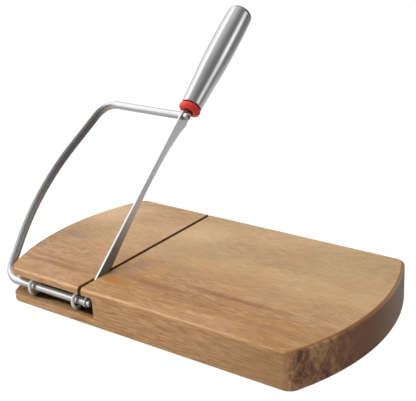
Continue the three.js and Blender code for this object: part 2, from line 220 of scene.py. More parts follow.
def soften_edges(obj, width, segments=3, angle=35):
    modifier = obj.modifiers.new("edges", "BEVEL")
    modifier.width = width * MM
    modifier.segments = segments
    modifier.limit_method = "ANGLE"
    modifier.angle_limit = math.radians(angle)
    modifier.use_clamp_overlap = True
    modifier.miter_outer = "MITER_ARC"
    apply_modifiers(obj)


def join_rings(bm, rings):
    """Side faces between rings that have the same number of points."""
    for a, b in zip(rings, rings[1:]):
        count = len(a)
        for i in range(count):
            j = (i + 1) % count
            bm.faces.new((a[i], a[j], b[j], b[i]))


def loft(rings):
    """Closed body through rings of points, with a flat face on the first and on the last."""
    bm = bmesh.new()
    made = [[bm.verts.new(point) for point in ring] for ring in rings]
    join_rings(bm, made)
    bm.faces.new(made[0][::-1])
    bm.faces.new(made[-1])
    return bm


def turned(outline, axis, segments):
    """Body turned about axis ("X" or "Y") from a closed outline of (radius, along) points."""
    bm = bmesh.new()
    rings = []
    for radius, along in outline:
        if radius == 0:
            centre = (along, 0, 0) if axis == "X" else (0, along, 0)
            rings.append([bm.verts.new(centre)])
            continue
        ring = []
        for k in range(segments):
            angle = 2 * math.pi * k / segments
            a, b = radius * math.cos(angle), radius * math.sin(angle)
            ring.append(bm.verts.new((along, a, b) if axis == "X" else (a, along, b)))
        rings.append(ring)
    for a, b in zip(rings, rings[1:] + rings[:1]):
        if len(a) == 1 and len(b) == 1:
            continue
        for i in range(segments):
            j = (i + 1) % segments
            if len(a) == 1:
                bm.faces.new((a[0], b[j], b[i]))
            elif len(b) == 1:
                bm.faces.new((a[i], a[j], b[0]))
            else:
                bm.faces.new((a[i], a[j], b[j], b[i]))
    return bm


def arc(cx, cy, radius, start, end, steps):
    """Points on an arc from start to end degrees."""
    points = []
    for i in range(steps + 1):
        angle = math.radians(start + (end - start) * i / steps)
        points.append((cx + radius * math.cos(angle), cy + radius * math.sin(angle)))
    return points


def swept(points, radii, sides, across):
    """Round bar along points that lie in one plane; across is that plane's normal."""
    rings = []
    for i, point in enumerate(points):
        before = points[max(i - 1, 0)]
        after = points[min(i + 1, len(points) - 1)]
        along = (after - before).normalized()
        side = across.cross(along).normalized()
        ring = []
        for k in range(sides):
            angle = 2 * math.pi * k / sides
            offset = side * math.cos(angle) + across * math.sin(angle)
            ring.append(point + offset * radii[i])
        rings.append(ring)
    return loft(rings)


def round_bar(radius, x0, x1, y, z, sides):
    """Round bar from x0 to x1."""
    points = [Vector((x0, y, z)), Vector((x1, y, z))]
    return swept(points, [radius, radius], sides, Vector((0, 0, 1)))


def box(low, high):
    bm = bmesh.new()
    bmesh.ops.create_cube(bm, size=1)
    size = [h - l for l, h in zip(low, high)]
    middle = [(h + l) / 2 for l, h in zip(low, high)]
    bmesh.ops.scale(bm, vec=size, verts=bm.verts)
    bmesh.ops.translate(bm, vec=middle, verts=bm.verts)
    return bm


# ---- Node helpers ----


class Graph:
    """Short way to write a node tree. Links go in by socket name or number."""

    def __init__(self, tree):
        self.tree = tree
        tree.nodes.clear()

    def node(self, kind, **settings):
        made = self.tree.nodes.new(kind)
        inputs = settings.pop("inputs", {})
        for key, value in settings.items():
            setattr(made, key, value)
        for key, value in inputs.items():
            self.put(made.inputs[key], value)
        return made

    def put(self, socket, value):
        if isinstance(value, bpy.types.NodeSocket):
            self.tree.links.new(value, socket)
        elif socket.type == "RGBA" and len(value) == 3:
            socket.default_value = (*value, 1)
        else:
            socket.default_value = value

    def math(self, operation, a, b=0.0, clamp=False):
        inputs = {0: a, 1: b}
        return self.node("ShaderNodeMath", operation=operation, use_clamp=clamp, inputs=inputs).outputs[0]

    def vector_math(self, operation, a, b=(0, 0, 0)):
        return self.node("ShaderNodeVectorMath", operation=operation, inputs={0: a, 1: b})

    def scaled(self, vector, scale):
        return self.vector_math("MULTIPLY", vector, scale).outputs["Vector"]

    def added(self, a, b):
        return self.vector_math("ADD", a, b).outputs["Vector"]

    def noise(self, vector, detail=3.0, roughness=0.5, distortion=0.0, output=0):
        """Noise a unit wide, so the vector sets its scale. Output 0 is one number, output 1 is three."""
        made = self.node("ShaderNodeTexNoise")
        self.put(made.inputs["Vector"], vector)
        self.put(made.inputs["Scale"], 1)
        self.put(made.inputs["Detail"], detail)
        self.put(made.inputs["Roughness"], roughness)
        self.put(made.inputs["Distortion"], distortion)
        return made.outputs[output]

    def ramp(self, value, low, high, to_low=0.0, to_high=1.0, smooth=True):
        """Goes from to_low to to_high as value goes from low to high, and stays level beyond."""
        made = self.node("ShaderNodeMapRange", interpolation_type="SMOOTHSTEP" if smooth else "LINEAR")
        for socket, number in zip(made.inputs, (value, low, high, to_low, to_high)):
            self.put(socket, number)
        return made.outputs[0]

    def mix(self, factor, a, b):
        """Colour a where factor is 0, colour b where it is 1."""
        return self.node("ShaderNodeMix", data_type="RGBA", inputs={0: factor, 6: a, 7: b}).outputs[2]

    def combine(self, x, y, z):
        made = self.node("ShaderNodeCombineXYZ")
        for socket, value in zip(made.inputs, (x, y, z)):
            self.put(socket, value)
        return made.outputs[0]

    def separate(self, vector):
        made = self.node("ShaderNodeSeparateXYZ")
        self.put(made.inputs[0], vector)
        return made.outputs

    def bump(self, height, distance, strength):
        inputs = {"Height": height, "Distance": distance, "Strength": strength}
        return self.node("ShaderNodeBump", inputs=inputs).outputs[0]

    def millimetres(self):
        """Place on the piece in its own axes, in millimetres."""
        coords = self.node("ShaderNodeTexCoord")
        return self.scaled(coords.outputs["Object"], (1 / MM, 1 / MM, 1 / MM))

    def along_arm(self, place):
        """Turns a place on an arm piece so that y runs up the leaning arm."""
        inputs = {"Vector": place, "Rotation": (-ARM_LEAN, 0, 0)}
        return self.node("ShaderNodeMapping", inputs=inputs).outputs[0]

    def normal(self):
        """The way the surface faces, in the piece's own axes."""
        return self.separate(self.node("ShaderNodeTexCoord").outputs["Normal"])

    def blend(self, factor, a, b):
        """Shader a where factor is 0, shader b where it is 1."""
        return self.node("ShaderNodeMixShader", inputs={0: factor, 1: a, 2: b}).outputs[0]

    def finish(self, shader, kind="ShaderNodeOutputMaterial"):
        self.node(kind, inputs={"Surface": shader})

    def surface(self, **inputs):
        """Principled shader on the output; a socket's name is written with _ for a space."""
        named = {key.replace("_", " "): value for key, value in inputs.items()}
        self.finish(self.node("ShaderNodeBsdfPrincipled", inputs=named).outputs[0])


def new_material(name):
    material = bpy.data.materials.new(name)
    material.use_nodes = True
    return material, Graph(material.node_tree)


# ---- Wood ----

WOOD_BACK = (0.66, 0.44, 0.235)
WOOD_FRONT = (0.49, 0.252, 0.092)
WOOD_PINK = (0.6, 0.345, 0.19)
WOOD_BROWN = (0.36, 0.185, 0.085)
WOOD_PALE = (0.76, 0.53, 0.29)
WOOD_STREAK = (0.28, 0.145, 0.07)
WOOD_DULL = (0.38, 0.245, 0.125)
WOOD_PORE = (0.13, 0.065, 0.03)
SAWN_PALE = (0.7, 0.405, 0.18)
SAWN_DARK = (0.36, 0.17, 0.065)
ARRIS_BROWN = (0.3, 0.13, 0.035)
ARRIS_HIGHLIGHT_PALE = (0.86, 0.62, 0.38)
RECESS_PAINTED_SHADE = (0.013, 0.012, 0.01)
SLOT_PAINTED_SHADE = (0.1, 0.036, 0.008)
CEILING_PAINTED_LIGHT = (0.9, 0.78, 0.62)
END_BASE = (0.44, 0.2, 0.1)
END_RING = (0.3, 0.125, 0.06)
END_PAINTED_SHEEN = (0.72, 0.53, 0.38)
END_PALE_PATCH = (0.74, 0.4, 0.18)
END_DARK_PATCH = (0.12, 0.045, 0.025)
END_PALE_SPECK = (0.8, 0.46, 0.22)
END_DARK_SPECK = (0.13, 0.05, 0.026)
END_PORE = (0.12, 0.05, 0.03)

# The recess's painted shade sets in at the first of these and is full from the second
PAINTED_SHADE_START_Y = -77.5
PAINTED_SHADE_FULL_Y = -73.5

# The growth rings' axis runs along the board, behind its middle and under it
RING_AXIS_Y = 26
RING_AXIS_DEPTH = 90

# Soft marks in the board's wood, and painted shadows of the blade: centre and half size along x, y and z,
# colour, strength
WOOD_MARKS_AND_BLADE_SHADOWS = (
    ((-41, -61, 30), (13, 4.5, 14), (0.5, 0.2, 0.03), 0.75),
    ((-134, 45, 30), (30, 28, 14), (0.95, 0.68, 0.43), 0.5),
    ((-32, 48, 30), (26, 22, 14), (0.88, 0.62, 0.36), 0.35),
    ((72, -16, 30), (40, 13, 14), (0.42, 0.24, 0.115), 0.38),
    ((122, -22, 30), (24, 22, 14), (0.42, 0.24, 0.115), 0.3),
    ((88, -70, 30), (30, 9, 14), (0.42, 0.2, 0.08), 0.35),
    # The next three are painted shadows of the blade round its foot, not marks in the wood
    ((-42, -36, 30), (8, 17, 14), (0.33, 0.2, 0.14), 0.4),
    ((-66, -28, 30), (10, 18, 14), (0.36, 0.22, 0.15), 0.45),
    ((-12, -18, 30), (24, 8, 14), (0.36, 0.22, 0.13), 0.4),
    ((57, -39, 30), (52, 3.6, 14), (0.27, 0.11, 0.045), 0.72),
    ((-12, -50, 30), (38, 4, 14), (0.28, 0.12, 0.05), 0.6),
    ((44, -59, 30), (36, 3.5, 14), (0.3, 0.14, 0.06), 0.5),
    ((106, -64, 30), (34, 4.5, 14), (0.36, 0.17, 0.075), 0.45),
    ((-103, -61, 30), (40, 3.4, 14), (0.26, 0.115, 0.06), 0.65),
    ((-106, -52, 30), (34, 3, 14), (0.3, 0.15, 0.08), 0.5),
    ((-130, -9, 30), (15, 7, 14), (0.26, 0.18, 0.15), 0.55),
    ((115, -84, 14), (50, 10, 18), (0.3, 0.14, 0.05), 0.5),
)


def wood_face_colour(g, place):
    """Long-grain colour, with the distance from the rings' axis, the fibres and the pores for other looks."""
    x, y, _ = g.separate(place)

    # Growth rings with some wander; towards the back the grain climbs to the right
    wander = g.noise(g.scaled(place, (0.006, 0.018, 0.018)), detail=3, output=1)
    wander = g.scaled(g.added(wander, (-0.5, -0.5, -0.5)), (0, 40, 40))
    _, wy, wz = g.separate(g.added(place, wander))
    climb = g.math("MULTIPLY", g.math("ADD", x, 60), g.ramp(y, -45, 40, 0, 0.24))
    across = g.math("SUBTRACT", g.math("SUBTRACT", wy, climb), RING_AXIS_Y)
    down = g.math("ADD", wz, RING_AXIS_DEPTH)
    ring = g.math("SQRT", g.math("ADD", g.math("MULTIPLY", across, across), g.math("MULTIPLY", down, down)))
    along = g.math("MULTIPLY", x, 0.003)
    bands = g.noise(g.combine(g.math("MULTIPLY", ring, 0.16), along, 0.0), detail=4, roughness=0.6)
    broad = g.noise(g.combine(g.math("MULTIPLY", ring, 0.055), along, 3.0), detail=2)

    # Streaks, fibres and pores drawn out along the board
    streaks = g.noise(g.scaled(place, (0.085, 0.7, 0.7)), detail=5, roughness=0.62, distortion=0.35)
    fibres = g.noise(g.scaled(place, (0.12, 1.5, 1.5)), detail=4, roughness=0.65)
    pores = g.noise(g.scaled(place, (0.2, 1.1, 1.1)), detail=4, roughness=0.6)
    pore_mask = g.ramp(pores, 0.56, 0.68)
    patches = g.noise(g.scaled(place, (0.012, 0.03, 0.03)), detail=3, roughness=0.55, distortion=0.4)
    busy = g.ramp(g.noise(g.scaled(place, (0.014, 0.05, 0.05)), detail=2), 0.35, 0.65, 0.4, 1.1)
    busy = g.math("MULTIPLY", busy, g.ramp(y, 30, -60, 0.85, 1.7))

    base = g.mix(g.ramp(y, 55, -60), WOOD_BACK, WOOD_FRONT)
    left_tint = g.ramp(x, -40, -80, 0.0, 0.6)
    left_tint = g.math("ADD", left_tint, g.ramp(patches, 0.45, 0.62, -0.2, 0.4), clamp=True)
    base = g.mix(left_tint, base, WOOD_PINK)
    base = g.mix(g.ramp(bands, 0.5, 0.74, 0, 0.6), base, WOOD_BROWN)
    base = g.mix(g.ramp(bands, 0.48, 0.3, 0, 0.45), base, WOOD_PALE)
    base = g.mix(g.ramp(broad, 0.48, 0.66, 0, 0.45), base, WOOD_DULL)
    base = g.mix(g.ramp(broad, 0.46, 0.3, 0, 0.3), base, WOOD_PALE)
    base = g.mix(g.math("MULTIPLY", g.ramp(streaks, 0.49, 0.66, 0, 0.38), busy), base, WOOD_STREAK)
    base = g.mix(g.ramp(streaks, 0.48, 0.34, 0, 0.42), base, WOOD_PALE)
    base = g.mix(g.math("MULTIPLY", g.ramp(fibres, 0.48, 0.68, 0, 0.4), busy), base, WOOD_STREAK)
    base = g.mix(g.math("MULTIPLY", pore_mask, g.math("MULTIPLY", busy, 0.4)), base, WOOD_PORE)

    # The outlines of the marks and painted shadows wander along and across the grain
    blur = g.noise(g.scaled(place, (0.02, 0.09, 0.09)), detail=3, output=1)
    blur = g.scaled(g.added(blur, (-0.5, -0.5, -0.5)), (30, 10, 0))
    for centre, size, colour, strength in WOOD_MARKS_AND_BLADE_SHADOWS:
        offset = g.added(g.added(place, blur), tuple(-c for c in centre))
        scaled = g.scaled(offset, tuple(1 / s for s in size))
        distance = g.vector_math("LENGTH", scaled).outputs["Value"]
        base = g.mix(g.ramp(distance, 1.5, 0.1, 0, strength), base, colour)
    return base, ring, fibres, pore_mask


def wood_end_colour(g, place, ring):
    """End grain: rings and pores seen end on, patchy towards the front, with a painted sheen that makes it
    paler towards the back.
    """
    x, y, _ = g.separate(place)
    blotches = g.noise(g.scaled(place, (0.03, 0.075, 0.045)), detail=5, roughness=0.62, distortion=0.5)
    end_rings = g.noise(g.combine(g.math("MULTIPLY", ring, 0.45), 0.0, 1.0), detail=4)
    end = g.mix(g.ramp(end_rings, 0.35, 0.7, 0, 0.55), END_BASE, END_RING)
    front_end = g.ramp(y, -15, -62)
    patch = g.math("MULTIPLY", g.ramp(blotches, 0.48, 0.6), front_end)
    end = g.mix(g.math("MULTIPLY", patch, 0.75), end, END_PALE_PATCH)
    hollow = g.math("MULTIPLY", g.ramp(blotches, 0.47, 0.38), front_end)
    end = g.mix(g.math("MULTIPLY", hollow, 0.75), end, END_DARK_PATCH)
    # Painted sheen: paler and greyer towards the back, more on the right end
    back_sheen = g.math("MULTIPLY", g.ramp(y, -20, 55), g.ramp(x, -20, 20, 0.25, 0.85))
    end = g.mix(back_sheen, end, END_PAINTED_SHEEN)
    speckle = g.noise(g.scaled(place, (0.1, 0.42, 0.26)), detail=5, roughness=0.7)
    end = g.mix(g.math("MULTIPLY", g.ramp(speckle, 0.51, 0.62, 0, 0.55), front_end), end, END_DARK_SPECK)
    end = g.mix(g.math("MULTIPLY", g.ramp(speckle, 0.48, 0.38, 0, 0.4), front_end), end, END_PALE_SPECK)
    dots = g.noise(g.scaled(place, (0.3, 2.2, 2.2)), detail=2)
    return g.mix(g.ramp(dots, 0.55, 0.68, 0, 0.3), end, END_PORE)


def paint_recess_shade_and_light(g, place, up, colour):
    """Painted shade darkens the routed recess behind its mouth, and the slot; painted light makes the
    recess's ceiling pale.
    """
    x, y, z = g.separate(place)
    # The painted shade reaches further out towards the mouth right of each eye, as painted shadows of the
    # eyes
    eye_shadow_reach = g.math("ADD", g.ramp(x, -68, -60, 0, 3.5), g.ramp(x, -108, -86, 3.5, 0))
    mouth = g.math("ADD", y, eye_shadow_reach)
    inward = g.ramp(mouth, PAINTED_SHADE_START_Y, PAINTED_SHADE_FULL_Y)
    inward = g.math("MULTIPLY", inward, g.math("GREATER_THAN", up, -0.5))
    inward = g.math("MULTIPLY", inward, g.ramp(x, -117, -110))
    left_of_end = g.math("LESS_THAN", x, RECESS_END_X + 0.6)
    inside = g.math("MULTIPLY", left_of_end, g.math("LESS_THAN", y, RECESS_BACK_Y + 0.2))
    above = g.math("GREATER_THAN", z, RECESS_FLOOR_Z - 0.5)
    height = g.math("MULTIPLY", above, g.math("LESS_THAN", z, RECESS_CEILING_Z + 0.5))
    recess = g.math("MULTIPLY", inward, g.math("MULTIPLY", inside, height))
    # Painted shade: near black behind the mouth
    colour = g.mix(g.math("MULTIPLY", recess, 0.95), colour, RECESS_PAINTED_SHADE)

    # Painted light: the recess's ceiling is painted pale, for the rod's top to mirror
    ceiling = g.math("MULTIPLY", g.math("MULTIPLY", inside, height), g.math("LESS_THAN", up, -0.5))
    colour = g.mix(ceiling, colour, CEILING_PAINTED_LIGHT)

    # Painted shade in the slot, darker below the top
    from_slot = g.math("ABSOLUTE", g.math("SUBTRACT", x, BLADE_X))
    near_slot = g.math("LESS_THAN", from_slot, SLOT_WIDTH / 2 + 0.2)
    within = g.math("MAXIMUM", inward, g.math("GREATER_THAN", z, RECESS_CEILING_Z + 0.2))
    below_top = g.ramp(z, BOARD_THICKNESS - 0.2, BOARD_THICKNESS - 1.8, 0, 0.6)
    slot = g.math("MULTIPLY", g.math("MULTIPLY", near_slot, within), below_top)
    return g.mix(slot, colour, SLOT_PAINTED_SHADE)


def wood_material():
    material, g = new_material("board_wood")
    place = g.millimetres()
    x, _, _ = g.separate(place)
    normal_x, normal_y, up = g.normal()
    face, ring, fibres, pore_mask = wood_face_colour(g, place)
    end = wood_end_colour(g, place, ring)

    # The front edge is sawn through warmer wood
    front = g.math("MULTIPLY", g.ramp(normal_y, -0.5, -0.9), g.ramp(x, 130, 20, 0.35, 0.75))
    sawn = g.noise(g.scaled(place, (0.06, 1, 0.95)), detail=5, roughness=0.65)
    face = g.mix(front, face, g.mix(g.ramp(sawn, 0.36, 0.64), SAWN_PALE, SAWN_DARK))

    # End grain shows where the board faces along X, with an uneven border
    endwise = g.math("ABSOLUTE", normal_x)
    edge_noise = g.noise(g.scaled(place, (0.1, 0.1, 0.1)), detail=3)
    shifted = g.math("ADD", endwise, g.math("MULTIPLY", g.math("SUBTRACT", edge_noise, 0.5), 0.2))
    colour = g.mix(g.ramp(shifted, 0.3, 0.55), face, end)

    # The arris between top and end is handled most and has turned orange-brown
    arris = g.math("MULTIPLY", g.ramp(shifted, 0.1, 0.3), g.ramp(shifted, 0.75, 0.5))
    arris = g.math("MULTIPLY", arris, g.ramp(up, 0.1, 0.4))
    colour = g.mix(g.math("MULTIPLY", arris, 0.7), colour, ARRIS_BROWN)

    # Painted highlight on the long arrises, uneven and strongest towards the left
    arris_highlight = g.math("MULTIPLY", g.ramp(up, 0.45, 0.65), g.ramp(up, 0.92, 0.76))
    arris_highlight = g.math("MULTIPLY", arris_highlight, g.ramp(endwise, 0.3, 0.1))
    highlight_strength = g.math("MULTIPLY", g.ramp(edge_noise, 0.3, 0.65, 0.3, 0.55), g.ramp(x, 100, -20, 0.3, 1))
    colour = g.mix(g.math("MULTIPLY", arris_highlight, highlight_strength), colour, ARRIS_HIGHLIGHT_PALE)
    colour = paint_recess_shade_and_light(g, place, up, colour)

    rough = g.math("ADD", g.ramp(fibres, 0.3, 0.7, 0.44, 0.56), g.math("MULTIPLY", pore_mask, 0.15))
    grain_height = g.math("SUBTRACT", g.math("MULTIPLY", fibres, 0.6), g.math("MULTIPLY", pore_mask, 0.5))
    bumped = g.bump(grain_height, 0.00012, 0.8)
    g.surface(Base_Color=colour, Roughness=rough, Normal=bumped, Specular_IOR_Level=0.35)
    return material


# ---- Steel and plastic ----

STEEL_CONTRAST = 0.05
STEEL_CLOUD = 0.82


def steel_material(name, tint, roughness, streak, wear_and_painted_tone=None, turn_x=None, metallic=1.0):
    """Satin steel. streak scales the noise along each of the arm's axes, small along the brushing.

    Left of turn_x the brushing turns from along X to along Y, as on the bent rod. The wear and painted tone
    function gives how much painted tone each place takes (painted shade on the bow, painted reflection on the
    blade), and its colour, added roughness and metalness.
    """
    material, g = new_material(name)
    place = g.along_arm(g.millimetres())
    lines = g.noise(g.scaled(place, streak), detail=6, roughness=0.7)
    if turn_x is not None:
        turned_lines = g.noise(g.scaled(place, (streak[1], streak[0], streak[2])), detail=6, roughness=0.7)
        sideways = g.ramp(g.separate(place)[0], turn_x + 4, turn_x - 4)
        inputs = {0: sideways, 2: lines, 3: turned_lines}
        lines = g.node("ShaderNodeMix", data_type="FLOAT", inputs=inputs).outputs[0]
    clouds = g.noise(g.scaled(place, (0.05, 0.03, 0.05)), detail=3)
    scratches = g.ramp(g.noise(g.scaled(place, tuple(2.2 * s for s in streak)), detail=2), 0.66, 0.74)
    light = tuple(min(1, c * (1 + STEEL_CONTRAST)) for c in tint)
    dark = tuple(c * (1 - STEEL_CONTRAST) for c in tint)
    colour = g.mix(g.ramp(lines, 0.3, 0.7), dark, light)
    colour = g.mix(g.ramp(clouds, 0.35, 0.7, 0, 0.25), colour, tuple(c * STEEL_CLOUD for c in tint))
    rough = g.ramp(lines, 0.3, 0.7, roughness * 0.85, roughness * 1.2)
    rough = g.math("ADD", rough, g.ramp(clouds, 0.3, 0.7, -0.02, 0.04))
    if wear_and_painted_tone is not None:
        # The bow's painted shade and the blade's painted reflection go into the colour here
        painted_share, painted_colour, extra_roughness, painted_metallic = wear_and_painted_tone(g, place)
        colour = g.mix(painted_share, colour, painted_colour)
        rough = g.math("ADD", rough, g.math("MULTIPLY", painted_share, extra_roughness))
        metallic = g.ramp(painted_share, 0, 1, metallic, painted_metallic, smooth=False)
    rough = g.math("ADD", rough, g.math("MULTIPLY", scratches, 0.08))
    bumped = g.bump(lines, 0.00001, 0.5)
    g.surface(Base_Color=colour, Metallic=metallic, Roughness=rough, Normal=bumped)
    return material


def plastic_material(name, colour, roughness):
    """Moulded plastic, faintly mottled, with duller patches where it has been handled."""
    material, g = new_material(name)
    place = g.millimetres()
    mottle = g.noise(g.scaled(place, (0.25, 0.25, 0.25)), detail=3)
    fine = g.noise(g.scaled(place, (3.0, 3.0, 3.0)), detail=3)
    wear_and_painted_tone = g.ramp(g.noise(g.scaled(place, (0.6, 0.6, 0.6)), detail=4), 0.58, 0.7)
    dark = tuple(c * 0.88 for c in colour)
    light = tuple(min(1, c * 1.08) for c in colour)
    shade = g.mix(g.ramp(mottle, 0.3, 0.7), dark, light)
    rough = g.ramp(fine, 0.3, 0.7, roughness - 0.04, roughness + 0.05)
    rough = g.math("ADD", rough, g.math("MULTIPLY", wear_and_painted_tone, 0.08))
    bumped = g.bump(fine, 0.00003, 0.4)
    g.surface(Base_Color=shade, Roughness=rough, Normal=bumped, Specular_IOR_Level=0.5)
    return material


# ---- Board ----

END_RADIUS = (BOARD_WIDTH**2 / 4 + BOARD_END_BOW**2) / (2 * BOARD_END_BOW)
END_CENTRE_X = BOARD_LENGTH / 2 - END_RADIUS
CORNER_Y = BOARD_WIDTH / 2 - BOARD_CORNER_RADIUS
CORNER_X = END_CENTRE_X + math.sqrt((END_RADIUS - BOARD_CORNER_RADIUS) ** 2 - CORNER_Y**2)


def board_ring(inset, z):
    """The board's outline at height z, moved inwards by inset."""
    meet = math.degrees(math.asin(CORNER_Y / (END_RADIUS - BOARD_CORNER_RADIUS)))
    corner = BOARD_CORNER_RADIUS - inset
    right = [
        *arc(CORNER_X, -CORNER_Y, corner, -90, -meet, 10),
        *arc(END_CENTRE_X, 0, END_RADIUS - inset, -meet, meet, 56)[1:-1],
        *arc(CORNER_X, CORNER_Y, corner, meet, 90, 10),
    ]
    left = [(-px, -py) for px, py in right]
    return [(px, py, z) for px, py in right + left]


def build_board():
    low = arc(0, BOARD_BOTTOM_ROUND, BOARD_BOTTOM_ROUND, -90, 0, 5)
    high = arc(0, BOARD_THICKNESS - BOARD_TOP_ROUND, BOARD_TOP_ROUND, 0, 90, 9)
    rings = [board_ring(BOARD_BOTTOM_ROUND - out, z) for out, z in low]
    rings += [board_ring(BOARD_TOP_ROUND - out, z) for out, z in high]
    board = new_object("board_body", loft(rings))

    # The cutters run well past the board on their open sides
    corner_x = RECESS_END_X - RECESS_END_RADIUS
    outline = [
        (-BOARD_LENGTH, RECESS_FLOOR_Z),
        *arc(corner_x, RECESS_FLOOR_Z + RECESS_END_RADIUS, RECESS_END_RADIUS, -90, 0, 10),
        *arc(corner_x, RECESS_CEILING_Z - RECESS_END_RADIUS, RECESS_END_RADIUS, 0, 90, 10),
        (-BOARD_LENGTH, RECESS_CEILING_Z),
    ]
    rings = [[(px, py, pz) for px, pz in outline] for py in (RECESS_BACK_Y, BOARD_FRONT_Y - 10)]
    recess = new_object("recess", loft(rings))
    left = BLADE_X - SLOT_WIDTH / 2
    right = BLADE_X + SLOT_WIDTH / 2
    deep = new_object("slot_deep", box((left, RECESS_BACK_Y, SLOT_FLOOR_Z), (right, 100, 40)))
    shallow = new_object("slot_front", box((left, -100, PIVOT_Z), (right, RECESS_BACK_Y + 1, 40)))
    cut_away(board, recess, deep, shallow)
    soften_edges(board, CUT_EDGE_ROUND)
    smooth(board, 40)
    return board


def eye_shank_outline(wire):
    """(radius, along) points of the shank, with a ridge for each turn of its thread and a point."""
    outer = EYE_SHANK_DIAMETER / 2
    root = outer - EYE_THREAD_DEPTH
    outline = [(0, 0), (wire * 0.92, 0), (wire * 0.95, 1.2), (outer, 2.2)]
    y = EYE_THREAD_START
    while y < EYE_SHANK_LENGTH - 3:
        outline += [(outer, y), (root, y + EYE_THREAD_PITCH * 0.45), (outer, y + EYE_THREAD_PITCH * 0.9)]
        y += EYE_THREAD_PITCH
    outline += [(outer * 0.9, EYE_SHANK_LENGTH - 2.6), (0.3, EYE_SHANK_LENGTH), (0, EYE_SHANK_LENGTH)]
    return outline


def build_eye(name, x):
    """Bent wire ring that tapers where it closes on the threaded shank."""
    ring_radius = EYE_HOLE / 2 + EYE_WIRE / 2
    wire = EYE_WIRE / 2
    place = Matrix.Translation((x * MM, PIVOT.y, PIVOT.z))
    curve = arc(0, 0, ring_radius, EYE_RING_START_DEG, EYE_RING_END_DEG, 84)
    path = [Vector((0, py, pz)) for py, pz in curve]
    radii = [wire] * (len(path) - 3) + [wire * 0.97, wire * 0.85, wire * 0.6]
    ring = new_object(name, swept(path, radii, EYE_SIDES, Vector((1, 0, 0))), place)
    bm = turned(eye_shank_outline(wire), "Y", EYE_SIDES)
    bmesh.ops.translate(bm, vec=(0, ring_radius, 0), verts=bm.verts)
    combine(ring, new_object(name + "_shank", bm, place), "UNION")
    smooth(ring, 40, weighted=False)
    return ring


# ---- Arm ----


def bend(before, corner, after, radius, steps):
    """Points on the arc of this radius that rounds the corner between two straight runs."""
    to_before = (before - corner).normalized()
    to_after = (after - corner).normalized()
    half = to_before.angle(to_after) / 2
    centre = corner + (to_before + to_after).normalized() * (radius / math.sin(half))
    start = corner + to_before * (radius / math.tan(half)) - centre
    end = corner + to_after * (radius / math.tan(half)) - centre
    turn = start.angle(end)
    points = []
    for i in range(steps + 1):
        t = i / steps
        mixed = start * math.sin((1 - t) * turn) / math.sin(turn) + end * math.sin(t * turn) / math.sin(turn)
        points.append(centre + mixed)
    return points


def bow_points():
    """Middle line of the rod, from the hinge leg's end round the curved side to the top leg's end."""
    centre_x = BOW_OUTERMOST_X + BOW_ARC_RADIUS
    half_angle = math.asin(BOW_ARC_HALF_SPAN / BOW_ARC_RADIUS)
    arc_end_x = centre_x - BOW_ARC_RADIUS * math.cos(half_angle)
    lean = math.tan(half_angle)
    low_end = Vector((arc_end_x, BOW_ARC_REACH - BOW_ARC_HALF_SPAN, 0))
    high_end = Vector((arc_end_x, BOW_ARC_REACH + BOW_ARC_HALF_SPAN, 0))
    low_corner = Vector((arc_end_x + low_end.y * lean, 0, 0))
    high_corner = Vector((arc_end_x + (TOP_LEG_REACH - high_end.y) * lean, TOP_LEG_REACH, 0))
    hinge_leg = Vector((LEG_END_X, 0, 0))
    top_leg = Vector((LEG_END_X, TOP_LEG_REACH, 0))
    chamfer = Vector((ROD_END_CHAMFER, 0, 0))
    degrees = math.degrees(half_angle)
    curve = arc(centre_x, BOW_ARC_REACH, BOW_ARC_RADIUS, 180 + degrees, 180 - degrees, 40)
    return [
        hinge_leg,
        hinge_leg - chamfer,
        *bend(hinge_leg, low_corner, low_end, BOW_LOWER_BEND, 20),
        *[Vector((px, py, 0)) for px, py in curve],
        *bend(high_end, high_corner, top_leg, BOW_UPPER_BEND, 20),
        top_leg - chamfer,
        top_leg,
    ]


def drill(obj, radius, x0, x1, reach, height):
    """Hole along X in a piece of the arm."""
    cut_away(obj, new_object("hole", round_bar(radius, x0, x1, reach, height, HOLE_SIDES), ARM))


def build_bow():
    points = bow_points()
    radius = ROD_DIAMETER / 2
    radii = [radius] * len(points)
    radii[0] = radii[-1] = radius - ROD_END_CHAMFER
    bow = new_object("bow_rod", swept(points, radii, ROUND_SIDES, Vector((0, 0, 1))), ARM)
    for reach in (0, TOP_LEG_REACH):
        drill(bow, SCREW_HOLE / 2, LEG_END_X - SCREW_REACH_INTO_ROD - 1, LEG_END_X + 1, reach, 0)
    smooth(bow, 35, weighted=False)
    return bow


def spline(points, steps):
    """Catmull-Rom curve through the points, sampled at even steps of its parameter."""
    result = []
    last = len(points) - 1
    for s in range(steps + 1):
        t = last * s / steps
        i = min(int(t), last - 1)
        w = t - i
        nearest = (points[max(i - 1, 0)], points[i], points[i + 1], points[min(i + 2, last)])
        value = []
        for a, b, c, d in zip(*nearest):
            slope_b = (c - a) * 0.5
            slope_c = (d - b) * 0.5
            cubic = 2 * b - 2 * c + slope_b + slope_c
            square = -3 * b + 3 * c - 2 * slope_b - slope_c
            value.append(cubic * w**3 + square * w**2 + slope_b * w + b)
        result.append(tuple(value))
    return result


def bezier(p0, p1, p2, p3, steps):
    """Points on a cubic curve after its first end, p0, up to and with its last, p3."""
    points = []
    for i in range(1, steps + 1):
        t = i / steps
        weights = ((1 - t) ** 3, 3 * t * (1 - t) ** 2, 3 * t * t * (1 - t), t**3)
        points.append(tuple(sum(w * p[k] for w, p in zip(weights, (p0, p1, p2, p3))) for k in range(2)))
    return points


def lean_point(reach, height):
    moved = GRIP_LEAN @ Vector((0, reach, height))
    return (moved.y, moved.z)


